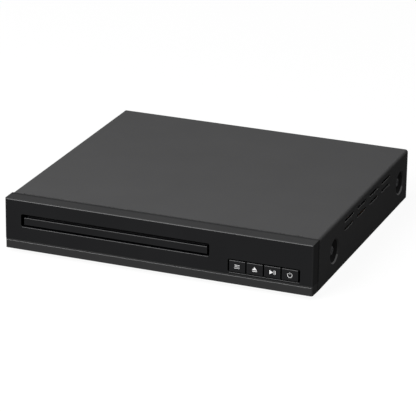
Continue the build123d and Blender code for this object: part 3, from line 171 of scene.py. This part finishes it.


# painted sheet: fine powder texture over very faint waves in the coat; with sides given, painted shade in
# the dimples and a painted highlight on the lips of the openings
def paint(name, colour, roughness, grain, depth, gloss, sideGloss, sides=None):
    finish = Finish(name, {"Specular IOR Level": 0.0, "Coat Roughness": 0.42})
    powder = finish.noise(grain, 3.0)
    drift = finish.noise(38 * mm, 2.0)
    fleck = finish.cells(grain * 1.7)
    finish.relief(powder + fleck * 0.5, 0.55, depth)
    tone = finish.shades(powder * 0.6 + drift * 0.4, colour, 0.86, 1.14)
    if sides:
        # painted shade: the walls of the dimples are darkened almost to black; painted highlight: the
        # upward-facing lips below the openings are lightened to grey
        out = finish.maths("ABSOLUTE", finish.height("X"), 0)
        side = finish.height("Z") < sides["below"]
        paintedShadeWall = (out < sides["walls"]) * (finish.maths("ABSOLUTE", finish.facing("X"), 0) < 0.92)
        paintedHighlightLip = (out > sides["walls"]) * (finish.facing("Z") > 0.4)
        tone = finish.blend(side * paintedShadeWall * 0.85, tone, sides["paintedShadeColour"])
        tone = finish.blend(side * paintedHighlightLip * 0.7, tone, sides["paintedHighlightColour"])
    # the coat weighted by facing gives a painted sheen on the top and painted shade on the sides
    return finish.surface(tone, roughness + (drift - 0.5) * 0.10, coat=finish.paintedSheen(gloss, sideGloss))


panelZones = {
    "bandTop": 10.3 * mm,                                       # top of the lower band, above the floor
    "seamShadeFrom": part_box("front_panel")[0].y + 9.5 * mm,          # where the painted shade towards the seam with the cover begins
    # weight of the painted highlight on the panel's rounded edges
    "paintedEdgeHighlight": 2.4,
}


# outer moulding: spark-eroded grain under a faint clear layer that paints sheen, edge highlights and seam
# shade, and a greyer, rougher band along the foot
def outerMoulding(name, colour, bandColour, bandTop, grain, depth, gloss, sideGloss):
    finish = Finish(name, {"Specular IOR Level": 0.0, "Coat Roughness": 0.2})
    pits = finish.cells(grain)
    fine = finish.noise(grain * 0.6, 3.0)
    marks = finish.noise(30 * mm, 3.0, (1, 1, 0.4))
    finish.relief(pits + fine * 0.6, 0.35, depth)
    band = finish.height("Z") < bandTop
    share = marks * 0.7 + fine * 0.3
    upper = finish.shades(share, colour, 0.84, 1.16)
    lower = finish.shades(share, bandColour, 0.90, 1.10)
    tone = finish.blend(band, upper, lower)
    # painted shade: a thinner coat from here back darkens the ledge towards the seam with the cover
    dull = (finish.height("Y") > panelZones["seamShadeFrom"]) * 0.3
    # the coat weighted by facing gives a painted sheen and a painted highlight on the rounded edges
    coat = finish.paintedSheen(gloss, sideGloss, panelZones["paintedEdgeHighlight"]) * (0.9 + marks * 0.2) * (1 - dull)
    return finish.surface(tone, 0.5 + (marks - 0.5) * 0.12, coat=coat)


# moulded plastic: spark-eroded grain, faint flow marks and slight polish where it is smooth
def moulded(name, colour, roughness, grain, depth, specular=0.5, flow=0.06):
    finish = Finish(name, {"Specular IOR Level": specular})
    pits = finish.cells(grain)
    fine = finish.noise(grain * 0.6, 3.0)
    marks = finish.noise(14 * mm, 3.0, (1, 0.35, 1))
    finish.relief(pits + fine * 0.6, 0.5, depth)
    tone = finish.shades(marks * 0.7 + fine * 0.3, colour, 1 - flow * 2, 1 + flow * 2)
    return finish.surface(tone, roughness + (marks - 0.5) * 0.12 + (fine - 0.5) * 0.08)


# zinc-coated sheet: spangles, rolling lines and light handling marks
def coatedSheet(name, colour, roughness, spangle, rolling=(1, 0.03, 1)):
    finish = Finish(name, {"Metallic": 1.0})
    flowers = finish.cells(spangle, "Color")
    shade = finish.node("SeparateColor", {}, {0: flowers}, 0)
    lines = finish.noise(0.5 * mm, 3.0, rolling)
    marks = finish.noise(22 * mm, 4.0)
    finish.relief(lines, 0.25, 0.01 * mm)
    tone = finish.shades(shade * 0.5 + marks * 0.5, colour, 0.80, 1.12)
    return finish.surface(tone, roughness + (shade - 0.5) * 0.14 + (lines - 0.5) * 0.12)


# plated, turned or ground metal: fine lines along one axis
def platedMetal(name, colour, roughness, lines=(1, 1, 1), size=0.35, depth=0.006, dull=0.10):
    finish = Finish(name, {"Metallic": 1.0})
    streaks = finish.noise(size * mm, 3.0, lines)
    bloom = finish.noise(6 * mm, 3.0)
    finish.relief(streaks, 0.3, depth * mm)
    tone = finish.shades(bloom * 0.6 + streaks * 0.4, colour, 0.84, 1.10)
    return finish.surface(tone, roughness + (bloom - 0.5) * dull + (streaks - 0.5) * dull)


# die casting: soft orange peel, darker in the corners of the grain
def casting(name, colour, roughness, grain):
    finish = Finish(name, {"Metallic": 1.0})
    peel = finish.noise(grain, 3.0)
    stain = finish.noise(9 * mm, 4.0)
    finish.relief(peel, 0.5, 0.04 * mm)
    tone = finish.shades(peel * 0.4 + stain * 0.6, colour, 0.70, 1.10)
    return finish.surface(tone, roughness + (stain - 0.5) * 0.16)


# rubber: dull, with a faint bloom and a moulded matt skin
def rubber(name, colour, roughness=0.78):
    finish = Finish(name, {"Specular IOR Level": 0.35, "Sheen Weight": 0.06, "Sheen Roughness": 0.6})
    skin = finish.noise(0.25 * mm, 3.0)
    bloom = finish.noise(7 * mm, 3.0)
    finish.relief(skin, 0.45, 0.02 * mm)
    tone = finish.shades(bloom, colour, 0.80, 1.25)
    return finish.surface(tone, roughness + (bloom - 0.5) * 0.14 + (skin - 0.5) * 0.10)


# printed board: resist with straight tracks and round pads on its faces, bare laminate on its edges
def printedBoard(name, resist, laminate, track):
    finish = Finish(name, {"Specular IOR Level": 0.5})
    flat = finish.facing("Z") * finish.facing("Z") + finish.facing("Y") * finish.facing("Y")
    seat = finish.place()
    steps = (2.4 * mm, 0.9 * mm, 2.4 * mm)
    grid = finish.node("VectorMath", {"operation": "SNAP"}, {0: seat, 1: steps})
    across = finish.node("TexNoise", {}, {"Vector": grid, "Scale": 160.0, "Detail": 0.0})
    lanes = finish.node("TexWave", {"bands_direction": "Y"}, {"Vector": seat, "Scale": 240.0})
    tracks = (across > 0.53) * lanes
    pads = finish.cells(2.54 * mm) < 0.16
    weave = finish.node("TexChecker", {}, {"Vector": seat, "Scale": 900.0}, 1)
    base = finish.shades(weave * 0.3 + finish.noise(20 * mm) * 0.5, resist, 0.85, 1.15)
    traced = finish.blend(tracks * 0.55, base, list(track) + [1])
    tinned = finish.blend(pads * 0.8, traced, (0.55, 0.55, 0.53, 1))
    edge = finish.shades(finish.noise(0.8 * mm, 2.0, (1, 1, 6)), laminate, 0.8, 1.15)
    finish.relief(tracks * 0.7 + pads * 0.5, 0.4, 0.05 * mm)
    return finish.surface(finish.blend(flat > 0.5, edge, tinned), 0.62 - flat * 0.30 + pads * 0.1)


# shrink sleeve with a bare stripe, and a bright pressed top
def sleeved(name, sleeve, stripe):
    finish = Finish(name, {"Specular IOR Level": 0.5, "Coat Roughness": 0.12})
    top = finish.facing("Z") > 0.6
    band = finish.facing("X") > 0.94
    side = finish.shades(finish.noise(3 * mm), sleeve, 0.85, 1.2)
    wrap = finish.blend(band, side, list(stripe) + [1])
    metal = finish.shades(finish.noise(0.4 * mm, 3.0, (1, 0.1, 1)), (0.62, 0.62, 0.63), 0.85, 1.1)
    finish.relief(finish.noise(0.3 * mm, 2.0), 0.2, 0.01 * mm)
    return finish.surface(finish.blend(top, wrap, metal), 0.30 + finish.noise(5 * mm) * 0.12, top)


# enamelled wire wound side by side
def winding(name, colour, wire):
    finish = Finish(name, {"Metallic": 1.0, "Coat Weight": 0.6, "Coat Roughness": 0.15})
    seat = finish.place()
    turns = finish.node("TexWave", {"wave_profile": "SIN", "bands_direction": "Z"},
                        {"Vector": seat, "Scale": 1 / wire / 20, "Distortion": 0.6, "Detail": 1.0})
    stray = finish.noise(3 * mm, 2.0)
    finish.relief(turns, 0.8, 0.12 * mm)
    tone = finish.shades(turns * 0.6 + stray * 0.4, colour, 0.45, 1.15)
    return finish.surface(tone, 0.26 + stray * 0.16)


# clear or tinted glass with a coating that shifts in tone
def coatedGlass(name, colour, tint, clear):
    finish = Finish(name, {"IOR": 1.5, "Transmission Weight": clear, "Coat Weight": 0.8,
                           "Coat Roughness": 0.02})
    edge = finish.node("LayerWeight", {}, {"Blend": 0.35}, "Facing")
    smear = finish.noise(4 * mm, 2.0)
    finish.relief(smear, 0.05, 0.01 * mm)
    tone = finish.blend(edge, list(colour) + [1], list(tint) + [1])
    return finish.surface(tone, 0.03 + smear * 0.05)


# flat cable: conductors in a row under a thin film
def flatCable(name, film, wire, pitch):
    finish = Finish(name, {"Specular IOR Level": 0.5})
    seat = finish.place()
    ridges = finish.node("TexWave", {"bands_direction": "X"}, {"Vector": seat, "Scale": 1 / pitch / 20})
    haze = finish.noise(8 * mm, 2.0)
    finish.relief(ridges, 0.6, 0.1 * mm)
    tone = finish.blend(ridges * 0.4, list(film) + [1], list(wire) + [1])
    return finish.surface(tone, 0.38 + haze * 0.14)


# one finish for each material slot of the frame
finishes = {
    "cover_paint": paint("coverPaint", (0.077, 0.077, 0.078), 0.55, 0.34 * mm, 0.020 * mm, 0.06, 0.02,
                         coverSides),
    "rear_paint": paint("rearPaint", (0.016, 0.016, 0.017), 0.55, 0.40 * mm, 0.025 * mm, 0.1, 0.1),
    "panel_plastic": outerMoulding("panelPlastic", (0.0032, 0.0033, 0.0040), (0.023, 0.023, 0.0235),
                                   panelZones["bandTop"], 0.30 * mm, 0.006 * mm, 0.25, 0.045),
    "key_plastic": outerMoulding("keyPlastic", (0.005, 0.005, 0.0058), (0.005, 0.005, 0.0058), 0.0,
                                 0.22 * mm, 0.004 * mm, 0.26, 0.02),
    "tray_plastic": moulded("trayPlastic", (0.018, 0.018, 0.019), 0.46, 0.35 * mm, 0.012 * mm),
    "frame_plastic": moulded("framePlastic", (0.022, 0.022, 0.024), 0.52, 0.45 * mm, 0.014 * mm),
    "chip_black": moulded("chipEpoxy", (0.020, 0.020, 0.021), 0.62, 0.18 * mm, 0.010 * mm),
    "jack_plastic": moulded("jackPlastic", (0.018, 0.018, 0.018), 0.42, 0.25 * mm, 0.008 * mm),
    "gear_plastic": moulded("gearAcetal", (0.72, 0.71, 0.66), 0.36, 0.30 * mm, 0.006 * mm, flow=0.03),
    "header_plastic": moulded("headerNylon", (0.74, 0.72, 0.66), 0.44, 0.28 * mm, 0.008 * mm, flow=0.03),
    "steel_sheet": coatedSheet("steelSheet", (0.56, 0.57, 0.58), 0.38, 6.5 * mm),
    "foot_rubber": rubber("footRubber", (0.022, 0.022, 0.022)),
    "belt_rubber": rubber("beltRubber", (0.017, 0.017, 0.017), 0.66),
    "damper_rubber": rubber("damperRubber", (0.23, 0.10, 0.08), 0.70),
    "black_screw": paint("blackScrew", (0.13, 0.13, 0.135), 0.40, 0.30 * mm, 0.003 * mm, 0.14, 0.10),
    "bright_screw": platedMetal("brightScrew", (0.66, 0.66, 0.66), 0.24, size=0.6),
    "motor_steel": platedMetal("motorSteel", (0.60, 0.60, 0.60), 0.30, (1, 1, 0.1)),
    "rod_steel": platedMetal("rodSteel", (0.70, 0.70, 0.71), 0.14, (6, 0.1, 6), 0.5),
    "jack_metal": platedMetal("jackNickel", (0.40, 0.39, 0.37), 0.22, (1, 6, 1), 0.6),
    "sink_aluminium": platedMetal("sinkAluminium", (0.62, 0.62, 0.63), 0.36, (1, 1, 0.05), 0.6, 0.02),
    "sled_alloy": casting("sledAlloy", (0.46, 0.46, 0.47), 0.46, 0.7 * mm),
    "magnet_dark": casting("magnetSinter", (0.14, 0.14, 0.14), 0.60, 0.4 * mm),
    "ferrite": casting("ferrite", (0.060, 0.060, 0.064), 0.66, 0.5 * mm),
    "board_green": printedBoard("boardGreen", (0.010, 0.10, 0.035), (0.34, 0.33, 0.17), (0.03, 0.20, 0.07)),
    "board_tan": printedBoard("boardTan", (0.30, 0.17, 0.06), (0.40, 0.27, 0.12), (0.42, 0.26, 0.10)),
    "capacitor_sleeve": sleeved("capacitorSleeve", (0.014, 0.016, 0.030), (0.42, 0.43, 0.45)),
    "copper_winding": winding("copperWinding", (0.62, 0.24, 0.09), 0.30 * mm),
    "lens_glass": coatedGlass("lensGlass", (0.18, 0.16, 0.42), (0.46, 0.22, 0.50), 0.6),
    "fuse_glass": coatedGlass("fuseGlass", (0.86, 0.90, 0.90), (0.75, 0.80, 0.80), 0.9),
    "ribbon": flatCable("ribbon", (0.72, 0.72, 0.70), (0.55, 0.55, 0.54), 1.25 * mm),
}

slotOf = {entry["node"]: entry["material_slot"] for entry in frame["record"]["subparts"]}
for name, node in frame["nodes"].items():
    node.data.materials.clear()
    node.data.materials.append(finishes[slotOf[name]])
print("finishes on", len(slotOf), "nodes")


def meshPiece(name, shape, material, body):
    bmesh.ops.remove_doubles(shape, verts=shape.verts, dist=1e-7)
    bmesh.ops.recalc_face_normals(shape, faces=shape.faces)
    mesh = bpy.data.meshes.new(name)
    shape.to_mesh(mesh)
    shape.free()
    mesh.materials.append(material)
    piece = bpy.data.objects.new(name, mesh)
    bpy.context.scene.collection.objects.link(piece)
    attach(piece, body)
    return piece


# printed symbols on the keys, drawn in x and z and laid on the key's face
symbolPrint = {
    "lift": 0.012 * mm,     # from the key's face to the middle of the ink
    "ink": 0.03 * mm,
    "size": 3.4 * mm,
    "barStroke": 0.44 * mm,
    "pauseStroke": 0.385 * mm,
    "ringStroke": 0.3025 * mm,
    "ringRadius": 1.632 * mm,
    "ringGap": 64,          # degrees left open at the top
    "ringSteps": 40,
    "middle": 16.3 * mm,    # of the keys, above the floor
}
inkFinish = moulded("keyInk", (0.90, 0.90, 0.90), 0.5, 0.2 * mm, 0.003 * mm, flow=0.02)


def addBar(shape, x, z, width, height):
    grown = bmesh.ops.create_cube(shape, size=1.0)["verts"]
    bmesh.ops.scale(shape, verts=grown, vec=(width, symbolPrint["ink"], height))
    bmesh.ops.translate(shape, verts=grown, vec=(x, 0, z))


def addTriangle(shape, x, z, size, turn, flat=1.0):
    made = bmesh.ops.create_cone(shape, cap_ends=True, cap_tris=False, segments=3, radius1=size,
                                 radius2=size, depth=symbolPrint["ink"])["verts"]
    bmesh.ops.rotate(shape, verts=made, cent=(0, 0, 0), matrix=Matrix.Rotation(math.radians(90), 3, "X"))
    bmesh.ops.rotate(shape, verts=made, cent=(0, 0, 0), matrix=Matrix.Rotation(turn, 3, "Y"))
    bmesh.ops.scale(shape, verts=made, vec=(1, 1, flat))
    bmesh.ops.translate(shape, verts=made, vec=(x, 0, z))


def layOnKey(shape, keyName):
    low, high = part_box(keyName)
    seat = ((low.x + high.x) / 2, low.y - symbolPrint["lift"], symbolPrint["middle"])
    bmesh.ops.translate(shape, verts=shape.verts, vec=seat)
    return shape


def ejectSymbol():
    shape = bmesh.new()
    size = symbolPrint["size"]
    addTriangle(shape, 0, size * 0.08, size * 0.56, 0.0, 0.78)
    addBar(shape, 0, -size * 0.38, size * 0.98, symbolPrint["barStroke"])
    return shape


def playSymbol():
    shape = bmesh.new()
    size = symbolPrint["size"]
    addTriangle(shape, -size * 0.30, 0, size * 0.54, math.radians(90))
    for step in (0.38, 0.66):
        addBar(shape, size * step, 0, symbolPrint["pauseStroke"], size * 0.86)
    return shape


def powerSymbol():
    shape = bmesh.new()
    size, stroke, ink = symbolPrint["size"], symbolPrint["ringStroke"], symbolPrint["ink"]
    corners = [shape.verts.new((symbolPrint["ringRadius"] + dx * stroke / 2, dy * ink / 2, 0))
               for dx, dy in ((-1, -1), (1, -1), (1, 1), (-1, 1))]
    profile = [shape.edges.new((corners[i], corners[(i + 1) % 4])) for i in range(4)]
    start = math.radians(90 + symbolPrint["ringGap"] / 2)
    sweep = math.radians(360 - symbolPrint["ringGap"])
    bmesh.ops.rotate(shape, verts=corners, cent=(0, 0, 0), matrix=Matrix.Rotation(-start, 3, "Y"))
    bmesh.ops.spin(shape, geom=profile + corners, cent=(0, 0, 0), axis=(0, -1, 0), angle=sweep,
                   steps=symbolPrint["ringSteps"], use_merge=False)
    bmesh.ops.holes_fill(shape, edges=shape.edges, sides=4)     # closes the ring's two ends
    addBar(shape, 0, size * 0.40, stroke, size * 0.42)
    return shape


def plainSymbol():
    shape = bmesh.new()
    size = symbolPrint["size"]
    for row in (-1, 0, 1):
        addBar(shape, 0, row * size * 0.32, size * 1.1, symbolPrint["ringStroke"])
    return shape


keySymbols = {
    "key_1": ("listMark", plainSymbol),
    "key_2": ("ejectMark", ejectSymbol),
    "key_3": ("playMark", playSymbol),
    "key_4": ("powerMark", powerSymbol),
}
for keyName, (pieceName, draw) in keySymbols.items():
    meshPiece(pieceName, layOnKey(draw(), keyName), inkFinish, keyName)
print("symbols on the keys")

# stage: a floor that the camera sees as white, with the shadow kept
stageSettings = {"size": 6.0, "grey": 0.10, "lift": 0.92}


def stageMaterial():
    finish = Finish("stageFloor", {"Roughness": 0.9, "Specular IOR Level": 0.1})
    finish.surface((stageSettings["grey"],) * 3 + (1,))
    seen = finish.node("LightPath", output="Is Camera Ray")
    mirrored = finish.node("LightPath", output="Is Glossy Ray")
    through = finish.node("LightPath", output="Is Transmission Ray")
    glow = ((seen + mirrored + through) > 0.5) * stageSettings["lift"]
    shade = finish.node("CombineColor", {}, {0: glow, 1: glow, 2: glow})
    finish.feed(finish.shader.inputs["Emission Color"], shade)
    finish.shader.inputs["Emission Strength"].default_value = 1.0
    return finish.material


floorShape = bmesh.new()
bmesh.ops.create_grid(floorShape, x_segments=1, y_segments=1, size=stageSettings["size"] / 2)
floorMesh = bpy.data.meshes.new("stageFloor")
floorShape.to_mesh(floorMesh)
floorShape.free()
floorMesh.materials.append(stageMaterial())
stageFloor = bpy.data.objects.new("stageFloor", floorMesh)
bpy.context.scene.collection.objects.link(stageFloor)

world = bpy.data.worlds.new("studio")
bpy.context.scene.world = world
world.use_nodes = True
worldTree = world.node_tree
worldShade = worldTree.nodes["Background"]
worldPath = worldTree.nodes.new("ShaderNodeLightPath")
worldMix = worldTree.nodes.new("ShaderNodeMix")
worldMix.data_type = "RGBA"
worldSettings = {"seen": 1.0, "unseen": 0.10}
worldMix.inputs[6].default_value = (worldSettings["unseen"],) * 3 + (1,)
worldMix.inputs[7].default_value = (worldSettings["seen"],) * 3 + (1,)
worldSum = worldPath.outputs["Is Camera Ray"]
for ray in ("Is Glossy Ray", "Is Transmission Ray"):
    joined = worldTree.nodes.new("ShaderNodeMath")
    joined.operation = "MAXIMUM"
    worldTree.links.new(worldSum, joined.inputs[0])
    worldTree.links.new(worldPath.outputs[ray], joined.inputs[1])
    worldSum = joined.outputs[0]
worldTree.links.new(worldSum, worldMix.inputs[0])
worldTree.links.new(worldMix.outputs[2], worldShade.inputs["Color"])
worldShade.inputs["Strength"].default_value = 1.0


def softLamp(name, place, target, size, power):
    lamp = bpy.data.lights.new(name, "AREA")
    lamp.shape = "RECTANGLE"
    lamp.size, lamp.size_y = size
    lamp.energy = power
    holder = bpy.data.objects.new(name, lamp)
    bpy.context.scene.collection.objects.link(holder)
    holder.location = place
    holder.visible_camera = False
    holder.rotation_euler = (Vector(target) - Vector(place)).to_track_quat("-Z", "Y").to_euler()


# place, what it points at, width and depth, and watts
lampSettings = {
    "stripLamp": ((0.10, -0.45, 1.45), (0, 0, 0), (1.8, 0.3), 9.0),
    "frontLamp": ((-0.54, -1.25, 0.85), (0, 0, 0.02), (0.9, 0.9), 26.0),
}
for lampName, lampFacts in lampSettings.items():
    softLamp(lampName, *lampFacts)
print("stage and lamps")

# camera at the photograph's viewing angle
cameraSettings = {
    "place": (0.61084, -1.57343, 0.65217),
    "turn": (69.2736, -0.7242, 21.6315),    # degrees
    "lens": 219.05,
    "sensor": 36.0,
    "near": 0.05,
    "far": 20.0,
}
camera = bpy.data.cameras.new("camera")
camera.sensor_width = cameraSettings["sensor"]
camera.lens = cameraSettings["lens"]
camera.clip_start = cameraSettings["near"]
camera.clip_end = cameraSettings["far"]
cameraHolder = bpy.data.objects.new("camera", camera)
cameraHolder.location = cameraSettings["place"]
cameraHolder.rotation_euler = [math.radians(a) for a in cameraSettings["turn"]]
bpy.context.scene.collection.objects.link(cameraHolder)
bpy.context.scene.camera = cameraHolder
bpy.context.scene.view_settings.view_transform = "Standard"
